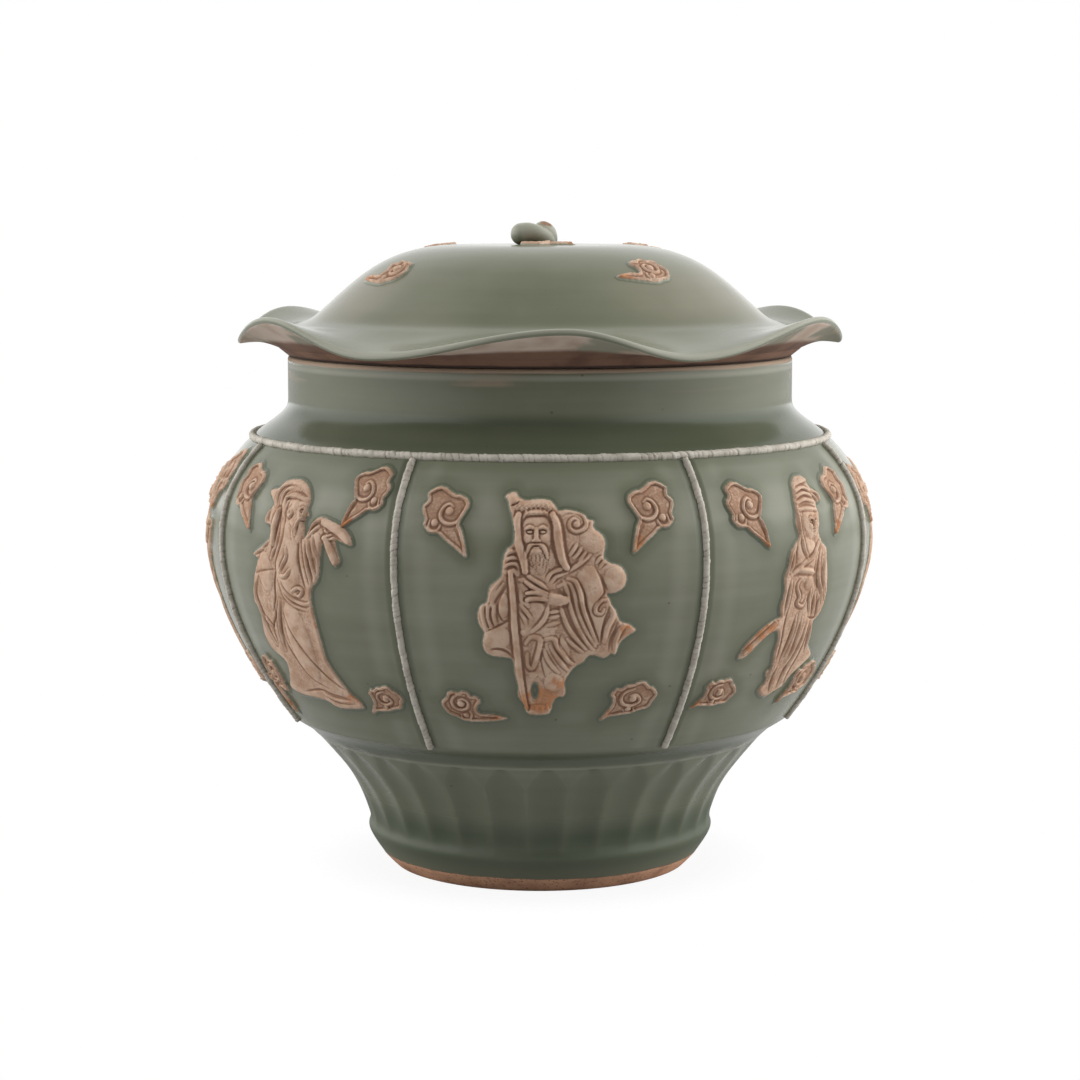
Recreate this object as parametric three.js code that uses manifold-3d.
// Celadon jar with a lotus-leaf lid: thrown body, inset base, applied cords and sprigs, loose lid.
// Millimetres, +Z up. The origin is the centre of the foot where it stands; -Y is the front.
// An angle is measured in degrees from the front towards +X.
import * as THREE from 'three';
import { mergeVertices } from 'three/addons/utils/BufferGeometryUtils.js';
import Module from 'manifold-3d';

const wasm = await Module();
wasm.setup();

// Jar: outside sizes
const FOOT_RADIUS = 78;
const FOOT_BAND_RADIUS = 84;
const FOOT_BAND_HEIGHT = 6.5;
const FOOT_ROLL_RADIUS = 91;
const FOOT_ROLL_HEIGHT = 18;
const PETAL_FOOT_HEIGHT = 27;
const LIP_RADIUS = 118.5;
const LIP_HEIGHT = 71.5;
const BELLY_FOOT_RADIUS = 133;
const BELLY_FOOT_HEIGHT = 82.5;
const BELLY_RADIUS = 173;
const BELLY_HEIGHT = 176;
const BELLY_LOWER_POWER = 1.78;
const BELLY_UPPER_POWER = 2.4;
const CORD_LINE_RADIUS = 150.2;
const CORD_LINE_HEIGHT = 227.3;
const NECK_RADIUS = 131.8;
const NECK_FOOT_HEIGHT = 246;
const JAR_HEIGHT = 268.5;

// Jar: walls, mouth and base
const BODY_WALL = 7;
const FOOT_WALL = 9;
const NECK_WALL = 5.5;
const RIM_ROUND = 0.8;
const BASE_LEDGE_HEIGHT = 10;
const BASE_LEDGE_WIDTH = 8;
const BASE_DISC_RADIUS = 69;
const BASE_DISC_THICKNESS = 6;
const BASE_DISC_DISH = 2;

// Carved petals round the foot
const PETAL_COUNT = 32;
const PETAL_COLUMNS = 4;
const PETAL_DEPTH = 1.8;
const PETAL_TIP_LENGTH = 12;
const PETAL_FADE_LENGTH = 15;

// Beaded cords, half round and laid on the clay
const CORD_WIDTH = 5;
const CORD_THICKNESS = 2.4;
const RIB_WIDTH = 4.2;
const RIB_THICKNESS = 2.1;
const RIB_FOOT_HEIGHT = 83.5;
const FRONT_PANEL_ANGLE = 50.5;
const PANEL_COUNT = 8;

// Sprigs
const FIGURE_THICKNESS = 1.8;
const FIGURE_RELIEF = 1.4;
const FIGURE_FOOT_HEIGHT = 103;
const CLOUD_THICKNESS = 1.8;
const LID_CLOUD_THICKNESS = 1.6;

// Lid
const LID_RADIUS = 157.5;
const LOBE_COUNT = 6;
const LOBE_HEIGHT = 5.6;
const LOBE_START_RADIUS = 125;
const FLANGE_RISE = 15.2;
const DOME_RISE = 57.3;
const DOME_TOP_RADIUS = 45;
const DOME_FOOT_RADIUS = 119;
const DOME_WALL = 6;
const EDGE_THICKNESS = 4;
const SEAT_FLARE = 4.7;
const SEAT_FLARE_HEIGHT = 4.3;
const SEAT_HEIGHT = 9.4;
const TONGUE_DEPTH = 13;
const TONGUE_WALL = 6.5;
const TONGUE_CLEARANCE = 2;
const KNOB_HEIGHT = 12.8;
const KNOB_REACH = 11;
const KNOB_STALK_RADIUS = 4.6;
const KNOB_END_RADIUS = 5.1;

// Fit and facets
const GAP = 0.3;
const COLUMNS = 40;
const LID_COLUMNS = 42;
const BELLY_STEPS = 8;

const GLAZE = { color: 0x7d8774, roughness: 0.2, metalness: 0 };
const BISCUIT = { color: 0xb59a81, roughness: 0.85, metalness: 0 };
const BARE_CLAY = { color: 0x8a6650, roughness: 0.9, metalness: 0 };
const BEAD_SLIP = { color: 0xb3aa9b, roughness: 0.6, metalness: 0 };

const object = new THREE.Group();

function addPiece(name, geometry, finish) {
  const mesh = new THREE.Mesh(geometry, new THREE.MeshStandardMaterial(finish));
  mesh.name = name;
  object.add(mesh);
}

function point2(x, y) {
  return new THREE.Vector2(x, y);
}

// Point at a radius, an angle from the front and a height
function cylindrical(radius, degrees, height) {
  const angle = THREE.MathUtils.degToRad(degrees);
  return new THREE.Vector3(radius * Math.sin(angle), -radius * Math.cos(angle), height);
}

// Solids from rings

// Faces between two rings, which may have different numbers of points
function bandFaces(lower, upper) {
  const faces = [];
  let i = 0;
  let j = 0;
  while (i < lower.count || j < upper.count) {
    const below = lower.start + i % lower.count;
    const above = upper.start + j % upper.count;
    if (i < lower.count && (i + 1) / lower.count <= (j + 1) / upper.count) {
      i += 1;
      faces.push([below, lower.start + i % lower.count, above]);
    } else {
      j += 1;
      faces.push([below, upper.start + j % upper.count, above]);
    }
  }
  return faces;
}

// Solid skinned over rings of points, joined end to end or capped at both ends
function ringSolid(rings, capped) {
  const positions = [];
  const spans = rings.map((ring) => {
    const start = positions.length / 3;
    ring.forEach((point) => positions.push(point.x, point.y, point.z));
    return { start, count: ring.length };
  });
  const last = spans.length - 1;
  const faces = spans.slice(1).flatMap((span, i) => bandFaces(spans[i], span));
  if (capped) {
    [spans[0], spans[last]].forEach((span, end) => {
      for (let i = 1; i < span.count - 1; i += 1) {
        const fan = [span.start, span.start + i, span.start + i + 1];
        faces.push(end === 0 ? fan.reverse() : fan);
      }
    });
  } else {
    faces.push(...bandFaces(spans[last], spans[0]));
  }
  const geometry = new THREE.BufferGeometry();
  geometry.setAttribute('position', new THREE.Float32BufferAttribute(positions, 3));
  geometry.setIndex(faces.flat());
  geometry.computeVertexNormals();
  return geometry;
}

// Ring round the axis whose radius and height may change with the angle
function ring(count, radiusAt, heightAt) {
  return Array.from({ length: count }, (_, i) => {
    const degrees = 360 * i / count;
    return cylindrical(radiusAt(degrees), degrees, heightAt(degrees));
  });
}

function plainRings(profile, count) {
  return profile.map((point) => ring(count, () => point.x, () => point.y));
}

// Tube whose radius changes along its path, with flat ends
function tubeSolid(points, radii, sides) {
  const side = new THREE.Vector3();
  const rings = points.map((point, i) => {
    const before = points[Math.max(i - 1, 0)];
    const after = points[Math.min(i + 1, points.length - 1)];
    const along = after.clone().sub(before).normalize();
    if (i === 0) {
      side.set(along.z, along.x, along.y);
    }
    side.addScaledVector(along, -side.dot(along)).normalize();
    const other = along.clone().cross(side);
    return Array.from({ length: sides }, (_, k) => {
      const angle = 2 * Math.PI * k / sides;
      return point.clone()
        .addScaledVector(side, radii[i] * Math.cos(angle))
        .addScaledVector(other, radii[i] * Math.sin(angle));
    });
  });
  return ringSolid(rings, true);
}

// Booleans

function asManifold(geometry) {
  const bare = geometry.clone();
  bare.deleteAttribute('normal');
  bare.deleteAttribute('uv');
  const merged = mergeVertices(bare, 1e-4);
  return new wasm.Manifold(new wasm.Mesh({
    numProp: 3,
    vertProperties: new Float32Array(merged.attributes.position.array),
    triVerts: new Uint32Array(merged.index.array),
  }));
}

function asGeometry(solid) {
  const mesh = solid.getMesh();
  const geometry = new THREE.BufferGeometry();
  geometry.setAttribute('position', new THREE.BufferAttribute(mesh.vertProperties, 3));
  geometry.setIndex(new THREE.BufferAttribute(mesh.triVerts, 1));
  geometry.computeVertexNormals();
  return geometry;
}

// Jar profile

// Radius of the belly at a height, fuller below its widest line than above it
function bellyRadius(height) {
  const below = height < BELLY_HEIGHT;
  const end = below
    ? { radius: BELLY_FOOT_RADIUS, height: BELLY_FOOT_HEIGHT, power: BELLY_LOWER_POWER }
    : { radius: CORD_LINE_RADIUS, height: CORD_LINE_HEIGHT, power: BELLY_UPPER_POWER };
  const share = (height - BELLY_HEIGHT) / (end.height - BELLY_HEIGHT);
  return BELLY_RADIUS - (BELLY_RADIUS - end.radius) * Math.max(share, 0) ** end.power;
}

function bellyProfile() {
  return Array.from({ length: BELLY_STEPS + 1 }, (_, i) => {
    const height = THREE.MathUtils.lerp(BELLY_FOOT_HEIGHT, CORD_LINE_HEIGHT, i / BELLY_STEPS);
    return point2(bellyRadius(height), height);
  });
}

function footCurve() {
  return new THREE.SplineCurve([
    point2(FOOT_BAND_RADIUS, FOOT_BAND_HEIGHT),
    point2(FOOT_ROLL_RADIUS, FOOT_ROLL_HEIGHT),
    point2(FOOT_ROLL_RADIUS, PETAL_FOOT_HEIGHT),
    point2(
      THREE.MathUtils.lerp(FOOT_ROLL_RADIUS, LIP_RADIUS, 0.33),
      THREE.MathUtils.lerp(PETAL_FOOT_HEIGHT, LIP_HEIGHT, 0.47),
    ),
    point2(LIP_RADIUS, LIP_HEIGHT),
  ]);
}

function shoulderCurve() {
  return new THREE.CubicBezierCurve(
    point2(CORD_LINE_RADIUS, CORD_LINE_HEIGHT),
    point2(
      THREE.MathUtils.lerp(CORD_LINE_RADIUS, NECK_RADIUS, 0.42),
      THREE.MathUtils.lerp(CORD_LINE_HEIGHT, NECK_FOOT_HEIGHT, 0.385),
    ),
    point2(NECK_RADIUS, THREE.MathUtils.lerp(CORD_LINE_HEIGHT, NECK_FOOT_HEIGHT, 0.6)),
    point2(NECK_RADIUS, NECK_FOOT_HEIGHT),
  );
}

// Profile moved along its own normal, to the outside for a positive distance
function offsetProfile(profile, distance) {
  return profile.map((point, i) => {
    const before = profile[Math.max(i - 1, 0)];
    const after = profile[Math.min(i + 1, profile.length - 1)];
    const along = after.clone().sub(before).normalize();
    return point2(point.x + distance * along.y, point.y - distance * along.x);
  });
}

// Depth that the carver took off at an angle and height: one hollow a petal, arched under the lip,
// with a crisp ridge left between two petals
function petalCut(degrees, height) {
  const across = Math.abs(2 * ((degrees * PETAL_COUNT / 360 + 0.5) % 1) - 1);
  const halfWidth = Math.sqrt(Math.min((LIP_HEIGHT - height) / PETAL_TIP_LENGTH, 1));
  const fade = THREE.MathUtils.smoothstep(height, PETAL_FOOT_HEIGHT, PETAL_FOOT_HEIGHT + PETAL_FADE_LENGTH);
  return PETAL_DEPTH * fade * Math.max(1 - (across / halfWidth) ** 2, 0);
}

function jarBody() {
  const foot = footCurve().getPoints(60);
  const radiusOnFoot = (height) => {
    const upper = foot.findIndex((point, i) => i > 0 && point.y >= height);
    return THREE.MathUtils.mapLinear(height, foot[upper - 1].y, foot[upper].y, foot[upper - 1].x, foot[upper].x);
  };
  const carvedHeights = [0.15, 0.5, 0.78, 0.92, 0.985].map(
    (share) => THREE.MathUtils.lerp(PETAL_FOOT_HEIGHT, LIP_HEIGHT, share),
  );
  const belly = bellyProfile();
  const mouthRadius = NECK_RADIUS - NECK_WALL;
  const ledgeRadius = BASE_DISC_RADIUS + GAP;
  const middleHeight = 0.5 * (PETAL_FOOT_HEIGHT + LIP_HEIGHT);
  const rollFootHeight = 0.5 * (FOOT_BAND_HEIGHT + FOOT_ROLL_HEIGHT);
  const rings = [
    ...plainRings([
      point2(FOOT_RADIUS, 0),
      point2(FOOT_BAND_RADIUS, FOOT_BAND_HEIGHT),
      point2(radiusOnFoot(rollFootHeight), rollFootHeight),
      point2(FOOT_ROLL_RADIUS, FOOT_ROLL_HEIGHT),
      point2(FOOT_ROLL_RADIUS, PETAL_FOOT_HEIGHT),
    ], COLUMNS),
    ...carvedHeights.map((height) => ring(
      PETAL_COUNT * PETAL_COLUMNS,
      (degrees) => radiusOnFoot(height) - petalCut(degrees, height),
      () => height,
    )),
    ...plainRings([point2(LIP_RADIUS, LIP_HEIGHT)], PETAL_COUNT * PETAL_COLUMNS),
    ...plainRings([
      ...belly,
      ...shoulderCurve().getPoints(4).slice(1),
      point2(NECK_RADIUS, JAR_HEIGHT - RIM_ROUND),
      point2(NECK_RADIUS - RIM_ROUND, JAR_HEIGHT),
      point2(mouthRadius + RIM_ROUND, JAR_HEIGHT),
      point2(mouthRadius, JAR_HEIGHT - RIM_ROUND),
      point2(mouthRadius, NECK_FOOT_HEIGHT),
      ...offsetProfile(belly, -BODY_WALL).filter((_, i) => i % 2 === 0).reverse(),
      point2(radiusOnFoot(middleHeight) - FOOT_WALL, middleHeight),
      point2(ledgeRadius, BASE_LEDGE_HEIGHT + BASE_DISC_THICKNESS + 2 * GAP),
      point2(ledgeRadius, BASE_LEDGE_HEIGHT),
      point2(ledgeRadius - BASE_LEDGE_WIDTH, BASE_LEDGE_HEIGHT),
      point2(ledgeRadius - BASE_LEDGE_WIDTH, 0),
    ], COLUMNS),
  ];
  return ringSolid(rings, false);
}

// Lathe of a profile that starts and ends on the axis or closes on itself, stood up along Z
function latheSolid(profile, segments) {
  const geometry = new THREE.LatheGeometry(profile, segments);
  geometry.rotateX(Math.PI / 2);
  return asGeometry(asManifold(geometry));
}

// Saucer that closes the foot from inside and rests on its ledge
function baseDisc() {
  const bottom = BASE_LEDGE_HEIGHT + GAP;
  const top = bottom + BASE_DISC_THICKNESS;
  const holeRadius = BASE_DISC_RADIUS - BASE_LEDGE_WIDTH;
  return latheSolid([
    point2(0, bottom + BASE_DISC_DISH),
    point2(holeRadius - 4, bottom + BASE_DISC_DISH),
    point2(holeRadius - 1, bottom),
    point2(BASE_DISC_RADIUS, bottom),
    point2(BASE_DISC_RADIUS, top - 1),
    point2(BASE_DISC_RADIUS - 1, top),
    point2(0, top - 1),
  ], 40);
}

// Cords

// Angles of the ribs on both sides of each panel, the front one wider than the rest
function ribAngles() {
  const others = (360 - FRONT_PANEL_ANGLE) / (PANEL_COUNT - 1);
  return Array.from({ length: PANEL_COUNT }, (_, i) => FRONT_PANEL_ANGLE / 2 + i * others);
}

function panelAngles() {
  const ribs = ribAngles();
  const others = (360 - FRONT_PANEL_ANGLE) / (PANEL_COUNT - 1);
  return [0, ...ribs.slice(0, -1).map((rib) => rib + others / 2)];
}

// Half-round section: across the cord and out from the clay
function cordSection(width, thickness) {
  return Array.from({ length: 5 }, (_, i) => {
    const angle = Math.PI * i / 4;
    return point2(width / 2 * Math.cos(angle), thickness * Math.sin(angle));
  });
}

// Places on the belly, clear of the clay by the gap, with the way that faces out of it
function cordSeats(heights) {
  const belly = bellyProfile();
  const slopeAt = (height) => {
    const upper = Math.max(belly.findIndex((point) => point.y >= height), 1);
    return belly[upper].clone().sub(belly[upper - 1]);
  };
  return heights.map((height) => {
    const slope = slopeAt(height);
    const upper = belly.findIndex((point) => point.y >= height);
    const share = (belly[upper].y - height) / slope.y;
    const out = point2(slope.y, -slope.x).normalize();
    const seat = belly[upper].clone().addScaledVector(slope, -share).addScaledVector(out, GAP);
    return { seat, out };
  });
}

function shoulderCord() {
  const [{ seat, out }] = cordSeats([CORD_LINE_HEIGHT]);
  const along = point2(-out.y, out.x);
  const profile = cordSection(CORD_WIDTH, CORD_THICKNESS).map(
    (point) => seat.clone().addScaledVector(along, -point.x).addScaledVector(out, point.y),
  );
  return ringSolid(plainRings(profile, COLUMNS), false);
}

function rib(degrees) {
  const rest = bellyProfile().slice(1, -1).map((point) => point.y);
  const heights = [RIB_FOOT_HEIGHT, ...rest, CORD_LINE_HEIGHT - CORD_WIDTH / 2 - GAP];
  const across = cylindrical(1, degrees + 90, 0);
  const rings = cordSeats(heights).map(({ seat, out }) => cordSection(RIB_WIDTH, RIB_THICKNESS).map(
    (point) => cylindrical(seat.x + out.x * point.y, degrees, seat.y + out.y * point.y)
      .addScaledVector(across, -point.x),
  ));
  return ringSolid(rings, true);
}

// Sprigs on the belly

// Skin of clay round the belly between two distances from it
function bellySkin(inside, outside) {
  const belly = bellyProfile();
  return asManifold(ringSolid(plainRings([
    ...offsetProfile(belly, outside),
    ...offsetProfile(belly, inside).reverse(),
  ], COLUMNS), false));
}

// Outline cut out of a skin of clay: drawn in the plane that faces out at an angle
function cutFromSkin(skin, shape, degrees) {
  const outward = cylindrical(1, degrees, 0);
  const across = cylindrical(1, degrees + 90, 0);
  const depth = BELLY_RADIUS + FIGURE_THICKNESS + FIGURE_RELIEF;
  const prism = new THREE.ExtrudeGeometry(shape, { depth, bevelEnabled: false });
  prism.applyMatrix4(new THREE.Matrix4().makeBasis(across, new THREE.Vector3(0, 0, 1), outward));
  prism.translate(outward.x, outward.y, 0);
  return skin.intersect(asManifold(prism));
}

function outline(points) {
  return new THREE.Shape(points.map(([x, y]) => point2(x, y)));
}

function oval(x, y, halfWidth, halfHeight) {
  const shape = new THREE.Shape();
  shape.absellipse(x, y, halfWidth, halfHeight, 0, 2 * Math.PI);
  return new THREE.Shape(shape.getPoints(4).slice(0, -1));
}

// Robed figures: the outline and the raised parts, across and up from the foot of the figure
const staffSage = {
  outline: [
    [-18, 110], [-22, 107], [-19, 98], [-18, 87], [-22, 83], [-23, 73], [-29, 66], [-36, 51], [-33, 36],
    [-22, 32], [-18, 22], [-18, 12], [-9, 2], [-3, 1], [0, 10], [8, 13], [11, 27], [16, 28], [18, 33],
    [29, 31], [34, 38], [41, 44], [33, 50], [27, 61], [33, 64], [35, 73], [26, 79], [25, 88], [19, 98],
    [12, 102], [4, 102], [-1, 106], [-12, 106],
  ],
  raised: [oval(-8, 92, 9, 12), oval(-4, 66, 13, 9), oval(12, 54, 9, 18)],
};
const clapperSage = {
  outline: [
    [-7, 111], [-16, 106], [-15, 98], [-14, 89], [-14, 80], [-24, 74], [-31, 53], [-27, 42], [-30, 28],
    [-24, 18], [-30, 6], [-18, 1], [9, -1], [29, -1], [22, 9], [17, 30], [17, 50], [24, 67], [26, 79],
    [35, 72], [37, 77], [34, 84], [43, 83], [44, 87], [35, 92], [24, 95], [16, 89], [13, 86], [14, 98],
    [8, 104], [-1, 110],
  ],
  raised: [oval(0, 96, 9, 11), oval(-6, 62, 13, 18), oval(19, 72, 5, 14)],
};
const fluteSage = {
  outline: [
    [7, 113], [-2, 108], [-7, 97], [-9, 82], [-15, 77], [-18, 65], [-18, 47], [-39, 28], [-35, 26],
    [-18, 38], [-14, 25], [-10, 12], [-9, 3], [0, 0], [10, 4], [18, 12], [27, 18], [18, 27], [14, 40],
    [20, 51], [17, 65], [15, 76], [8, 83], [11, 89], [11, 98], [15, 100], [11, 106],
  ],
  raised: [oval(1, 90, 8, 11), oval(0, 62, 11, 16), oval(4, 28, 9, 20)],
};
const fanSage = {
  outline: [
    [-6, 110], [3, 111], [9, 105], [11, 96], [10, 89], [17, 85], [24, 77], [31, 84], [38, 79], [37, 70],
    [28, 60], [31, 45], [27, 21], [28, 9], [20, 2], [2, 0], [-18, 1], [-24, 7], [-22, 21], [-31, 43],
    [-28, 55], [-30, 65], [-26, 77], [-9, 89], [-11, 96], [-10, 105],
  ],
  raised: [oval(0, 96, 9, 12), oval(-2, 60, 15, 18), oval(0, 22, 14, 16)],
};
const lotusSage = {
  outline: [
    [-3, 109], [4, 111], [9, 105], [10, 97], [8, 90], [14, 85], [18, 75], [16, 63], [19, 51], [15, 41],
    [14, 27], [22, 5], [12, 1], [-12, 2], [-18, 6], [-13, 19], [-18, 47], [-25, 66], [-34, 82],
    [-31, 90], [-24, 90], [-18, 80], [-13, 81], [-8, 87], [-9, 96], [-8, 104],
  ],
  raised: [oval(0, 96, 8, 11), oval(0, 62, 11, 18), oval(0, 24, 10, 18)],
};

const swordSage = {
  outline: [
    [-5, 111], [3, 111], [8, 106], [9, 97], [8, 90], [14, 87], [19, 93], [25, 104], [30, 107], [33, 102],
    [27, 92], [22, 82], [25, 70], [24, 58], [28, 46], [26, 34], [20, 30], [20, 16], [24, 4], [10, 1],
    [-6, 0], [-20, 3], [-22, 14], [-20, 27], [-26, 22], [-30, 16], [-33, 19], [-29, 28], [-22, 38],
    [-24, 52], [-22, 66], [-19, 80], [-12, 88], [-9, 92], [-10, 100], [-9, 107],
  ],
  raised: [oval(-1, 98, 8, 11), oval(0, 64, 14, 18), oval(1, 22, 13, 17)],
};
const basketSage = {
  outline: [
    [-2, 110], [5, 110], [10, 104], [10, 94], [9, 88], [17, 84], [22, 74], [21, 60], [25, 48], [20, 38],
    [18, 24], [23, 6], [12, 1], [-4, 2], [-16, 0], [-19, 8], [-14, 24], [-15, 38], [-24, 36], [-33, 40],
    [-37, 50], [-33, 58], [-28, 62], [-27, 74], [-31, 86], [-33, 92], [-28, 93], [-23, 82], [-18, 80],
    [-11, 86], [-8, 90], [-8, 100], [-7, 106],
  ],
  raised: [oval(1, 97, 7, 11), oval(3, 62, 12, 18), oval(-28, 49, 6, 6)],
};
const drumSage = {
  outline: [
    [2, 110], [9, 107], [12, 99], [12, 91], [17, 84], [26, 78], [36, 84], [40, 80], [35, 70], [26, 64],
    [24, 52], [26, 38], [22, 24], [24, 8], [16, 1], [-2, 0], [-18, 2], [-24, 10], [-21, 26], [-25, 42],
    [-29, 56], [-36, 64], [-33, 72], [-24, 72], [-19, 82], [-10, 88], [-8, 96], [-7, 104], [-3, 109],
  ],
  raised: [oval(2, 98, 8, 10), oval(-1, 60, 15, 18), oval(31, 77, 5, 4)],
};

function figure(design, degrees) {
  const raise = (shape) => new THREE.Shape(
    shape.getPoints().map((point) => {
      const height = point.y + FIGURE_FOOT_HEIGHT;
      return point2(point.x * bellyRadius(height) / BELLY_RADIUS, height);
    }),
  );
  const face = GAP + FIGURE_THICKNESS;
  const plate = cutFromSkin(bellySkin(GAP, face), raise(outline(design.outline)), degrees);
  const relief = bellySkin(face - FIGURE_THICKNESS / 2, face + FIGURE_RELIEF);
  return asGeometry(design.raised.reduce(
    (solid, shape) => solid.add(cutFromSkin(relief, raise(shape), degrees)),
    plate,
  ));
}

// Cloud: a scalloped head and a tail that tapers to a tip
function cloudShape(x, y, headRadius, tailLength, tailDegrees) {
  const lobes = 4;
  const steps = 8;
  const neck = 36;
  const polar = (radius, degrees) => {
    const angle = THREE.MathUtils.degToRad(degrees);
    return point2(x + radius * Math.cos(angle), y + radius * Math.sin(angle));
  };
  const head = Array.from({ length: steps + 1 }, (_, i) => {
    const share = i / steps;
    const scallop = Math.abs(Math.sin(Math.PI * lobes * share));
    return polar(headRadius * (0.86 + 0.14 * scallop), tailDegrees + neck + share * (360 - 2 * neck));
  });
  return new THREE.Shape([...head, polar(tailLength, tailDegrees)]);
}

// Clouds in the corners of a panel: head radius, length and way of the tail
const CORNERS = [
  { name: 'top_left', radius: 11.5, tail: 26, way: -64 },
  { name: 'top_right', radius: 11.5, tail: 24, way: -114 },
  { name: 'bottom_left', radius: 8.5, tail: 20, way: -30 },
  { name: 'bottom_right', radius: 9, tail: 17, way: -140 },
];

// Where each head was pressed on: degrees from the middle of its panel and height, and the way
// and length of a tail that was bent
const CLOUD_PLACES = [
  [[-17.1, 205], [16.4, 207], [-15.6, 110], [15, 112]],
  [[-13.5, 205], [11.7, 207], [-15.6, 112, -165, 14], [10.5, 110]],
  [[-16.5, 205], [16.5, 211], [-14, 110], [15, 111]],
  [[-17, 207], [16, 204], [-15, 111], [14, 109]],
  [[-16, 204], [16, 207], [-15, 110], [15, 112]],
  [[-17, 206], [15, 205], [-16, 112], [13, 110]],
  [[-15, 208], [15, 213], [-14, 111], [15, 110]],
  [[-14, 209], [16.2, 213.5, -114, 19], [-14.3, 111, -100, 14], [16.2, 109]],
];

// Lid

function lobe(degrees) {
  return Math.cos(THREE.MathUtils.degToRad(LOBE_COUNT * degrees));
}

// How far the lobes lift the leaf at a radius, from nothing at the start to the full wave at the edge
function lobeLift(radius, start, degrees) {
  const share = Math.max(radius - start, 0) / (LID_RADIUS - start);
  return LOBE_HEIGHT * lobe(degrees) * share ** 1.3;
}

const SEAT_RADIUS = NECK_RADIUS + SEAT_FLARE;
const SEAT_FOOT = JAR_HEIGHT + GAP;
const SEAT_TOP = SEAT_FOOT + SEAT_HEIGHT;

function domeProfile() {
  const top = JAR_HEIGHT + DOME_RISE;
  const leaf = JAR_HEIGHT + FLANGE_RISE;
  const shoulder = new THREE.CubicBezierCurve(
    point2(DOME_TOP_RADIUS, top),
    point2(THREE.MathUtils.lerp(DOME_TOP_RADIUS, DOME_FOOT_RADIUS, 0.52), top - 1),
    point2(THREE.MathUtils.lerp(DOME_TOP_RADIUS, DOME_FOOT_RADIUS, 0.7), THREE.MathUtils.lerp(leaf, top, 0.55)),
    point2(DOME_FOOT_RADIUS, leaf + 4),
  );
  return shoulder.getPoints(7).reverse();
}

function lidShell() {
  const top = domeProfile();
  const leaf = JAR_HEIGHT + FLANGE_RISE;
  const under = SEAT_TOP + GAP;
  const inside = offsetProfile(top, -DOME_WALL).filter((_, i) => i % 2 === 0);
  const lip = LID_RADIUS - EDGE_THICKNESS / 2;
  const leafRing = (radius, height, start) => ring(
    LID_COLUMNS,
    () => radius,
    (degrees) => height + lobeLift(radius, start, degrees),
  );
  const seatStart = SEAT_RADIUS + GAP;
  const flare = SEAT_FOOT + SEAT_FLARE_HEIGHT + GAP;
  return ringSolid([
    ...plainRings([...inside.slice(1)].reverse(), LID_COLUMNS),
    ...plainRings([point2(inside[0].x - DOME_WALL / 2, under)], LID_COLUMNS),
    ...plainRings([point2(seatStart, under), point2(seatStart, flare)], LID_COLUMNS),
    leafRing(0.5 * (seatStart + lip), THREE.MathUtils.lerp(flare, leaf - EDGE_THICKNESS, 0.65), seatStart),
    leafRing(lip, leaf - EDGE_THICKNESS, seatStart),
    leafRing(LID_RADIUS, leaf - EDGE_THICKNESS / 2, seatStart),
    leafRing(lip, leaf, LOBE_START_RADIUS),
    leafRing(0.5 * (LOBE_START_RADIUS + lip), leaf - 0.6, LOBE_START_RADIUS),
    leafRing(LOBE_START_RADIUS + 4, leaf + 0.8, LOBE_START_RADIUS),
    ...plainRings(top, LID_COLUMNS),
  ], true);
}

// Ring under the lid: a seat that rests on the rim and flares to meet the leaf, and a tongue that drops
// inside the neck
function locatingRing() {
  const tongueOutside = NECK_RADIUS - NECK_WALL - TONGUE_CLEARANCE;
  const tongueInside = tongueOutside - TONGUE_WALL;
  const profile = [
    point2(tongueInside, SEAT_FOOT - TONGUE_DEPTH),
    point2(tongueOutside, SEAT_FOOT - TONGUE_DEPTH),
    point2(tongueOutside, SEAT_FOOT),
    point2(NECK_RADIUS, SEAT_FOOT),
    point2(SEAT_RADIUS, SEAT_FOOT + SEAT_FLARE_HEIGHT),
    point2(SEAT_RADIUS, SEAT_TOP),
    point2(tongueInside, SEAT_TOP),
  ];
  return ringSolid(plainRings(profile, LID_COLUMNS), false);
}

// Twisted stalk: a strand that turns over to the left and a second one that rises behind it
function stalkKnob() {
  const base = JAR_HEIGHT + DOME_RISE + GAP;
  const steps = 8;
  const strand = (route, radiusAt) => {
    const places = route.map(([x, y, z]) => new THREE.Vector3(x, y, base + z));
    const points = new THREE.CatmullRomCurve3(places.slice(1)).getPoints(steps);
    const radii = points.map((_, i) => radiusAt(i / steps));
    return asManifold(tubeSolid([places[0], ...points], [radii[0], ...radii], 8));
  };
  const rounded = (share) => Math.sqrt(1 - Math.max(share - 0.6, 0) ** 2 / 0.17);
  const front = strand(
    [
      [0, -1.5, 0],
      [0, -1.5, 2],
      [-0.3 * KNOB_REACH, -2.5, KNOB_HEIGHT - 1.4 * KNOB_STALK_RADIUS],
      [-0.7 * KNOB_REACH, -3, KNOB_HEIGHT - 1.5 * KNOB_STALK_RADIUS],
      [-KNOB_REACH, -3, 0.6 * KNOB_END_RADIUS],
    ],
    (share) => THREE.MathUtils.lerp(KNOB_STALK_RADIUS, KNOB_END_RADIUS, share) * rounded(share),
  );
  const back = strand(
    [
      [1.8, 2.6, 0],
      [1.8, 2.6, 2],
      [2, 2.6, KNOB_HEIGHT / 2],
      [0.4, 2, KNOB_HEIGHT - 1.2],
    ],
    (share) => KNOB_STALK_RADIUS * rounded(share),
  );
  return asGeometry(front.add(back));
}

addPiece('jar_body', jarBody(), GLAZE);
addPiece('base_disc', baseDisc(), BARE_CLAY);
addPiece('shoulder_cord', shoulderCord(), BEAD_SLIP);
ribAngles().forEach((degrees, i) => addPiece(`rib_cord_${i + 1}`, rib(degrees), BEAD_SLIP));

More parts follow.
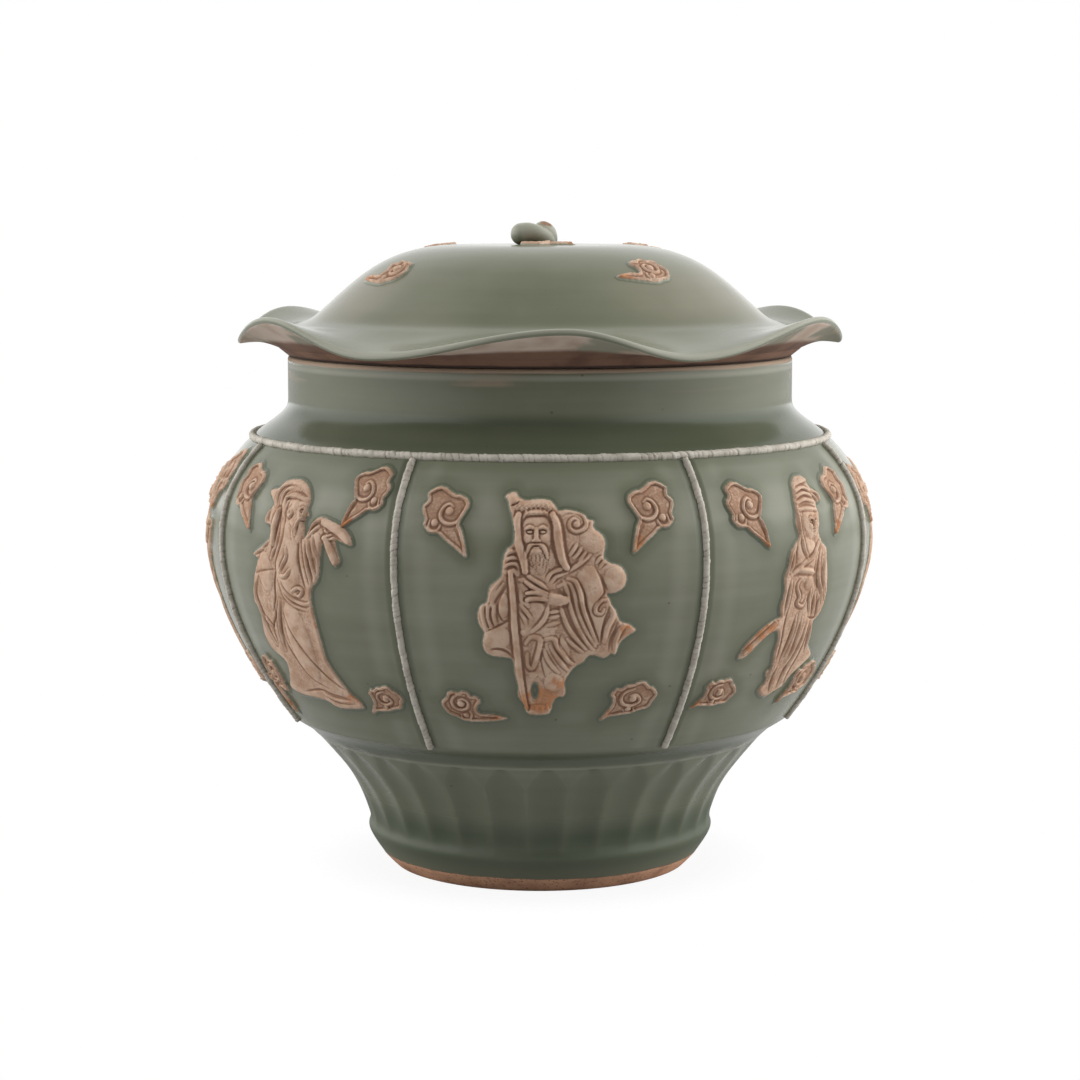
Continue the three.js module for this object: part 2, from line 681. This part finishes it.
const designs = [staffSage, fluteSage, fanSage, lotusSage, swordSage, basketSage, drumSage, clapperSage];
panelAngles().forEach((degrees, i) => {
  addPiece(`figure_${i + 1}`, figure(designs[i], degrees), BISCUIT);
  CORNERS.forEach((cloud, corner) => {
    const [offset, height, way = cloud.way, tail = cloud.tail] = CLOUD_PLACES[i][corner];
    const shape = cloudShape(0, height, cloud.radius, tail, way);
    const sprig = cutFromSkin(bellySkin(GAP, GAP + CLOUD_THICKNESS), shape, degrees + offset);
    addPiece(`cloud_${i + 1}_${cloud.name}`, asGeometry(sprig), BISCUIT);
  });
});

addPiece('lid_shell', lidShell(), GLAZE);
addPiece('lid_locating_ring', locatingRing(), BARE_CLAY);
addPiece('lid_stalk_knob', stalkKnob(), GLAZE);

// Clouds on the lid, cut from a skin of clay over the dome
function lidSkin(thickness) {
  const top = [...domeProfile(), point2(1, JAR_HEIGHT + DOME_RISE)];
  return asManifold(ringSolid(plainRings([
    ...offsetProfile(top, GAP).reverse(),
    ...offsetProfile(top, GAP + thickness),
  ], LID_COLUMNS), true));
}

const LID_CLOUDS = [
  { degrees: 36, radius: 86, size: 10.5, tail: 25, way: -160 },
  { degrees: 126, radius: 66, size: 10.5, tail: 25, way: -160 },
  { degrees: -126, radius: 66, size: 10.5, tail: 25, way: -160 },
  { degrees: -57, radius: 88, size: 10.5, tail: 25, way: -158 },
  { degrees: -7, radius: 18, size: 9, tail: 24, way: 0 },
];

LID_CLOUDS.forEach((cloud, i) => {
  const prism = new THREE.ExtrudeGeometry(
    cloudShape(0, 0, cloud.size, cloud.tail, cloud.way),
    { depth: DOME_RISE, bevelEnabled: false },
  );
  const centre = cylindrical(cloud.radius, cloud.degrees, JAR_HEIGHT + DOME_RISE / 2);
  prism.rotateZ(THREE.MathUtils.degToRad(cloud.degrees));
  prism.translate(centre.x, centre.y, centre.z);
  const sprig = lidSkin(LID_CLOUD_THICKNESS).intersect(asManifold(prism));
  addPiece(`lid_cloud_${i + 1}`, asGeometry(sprig), BISCUIT);
});

export default object;
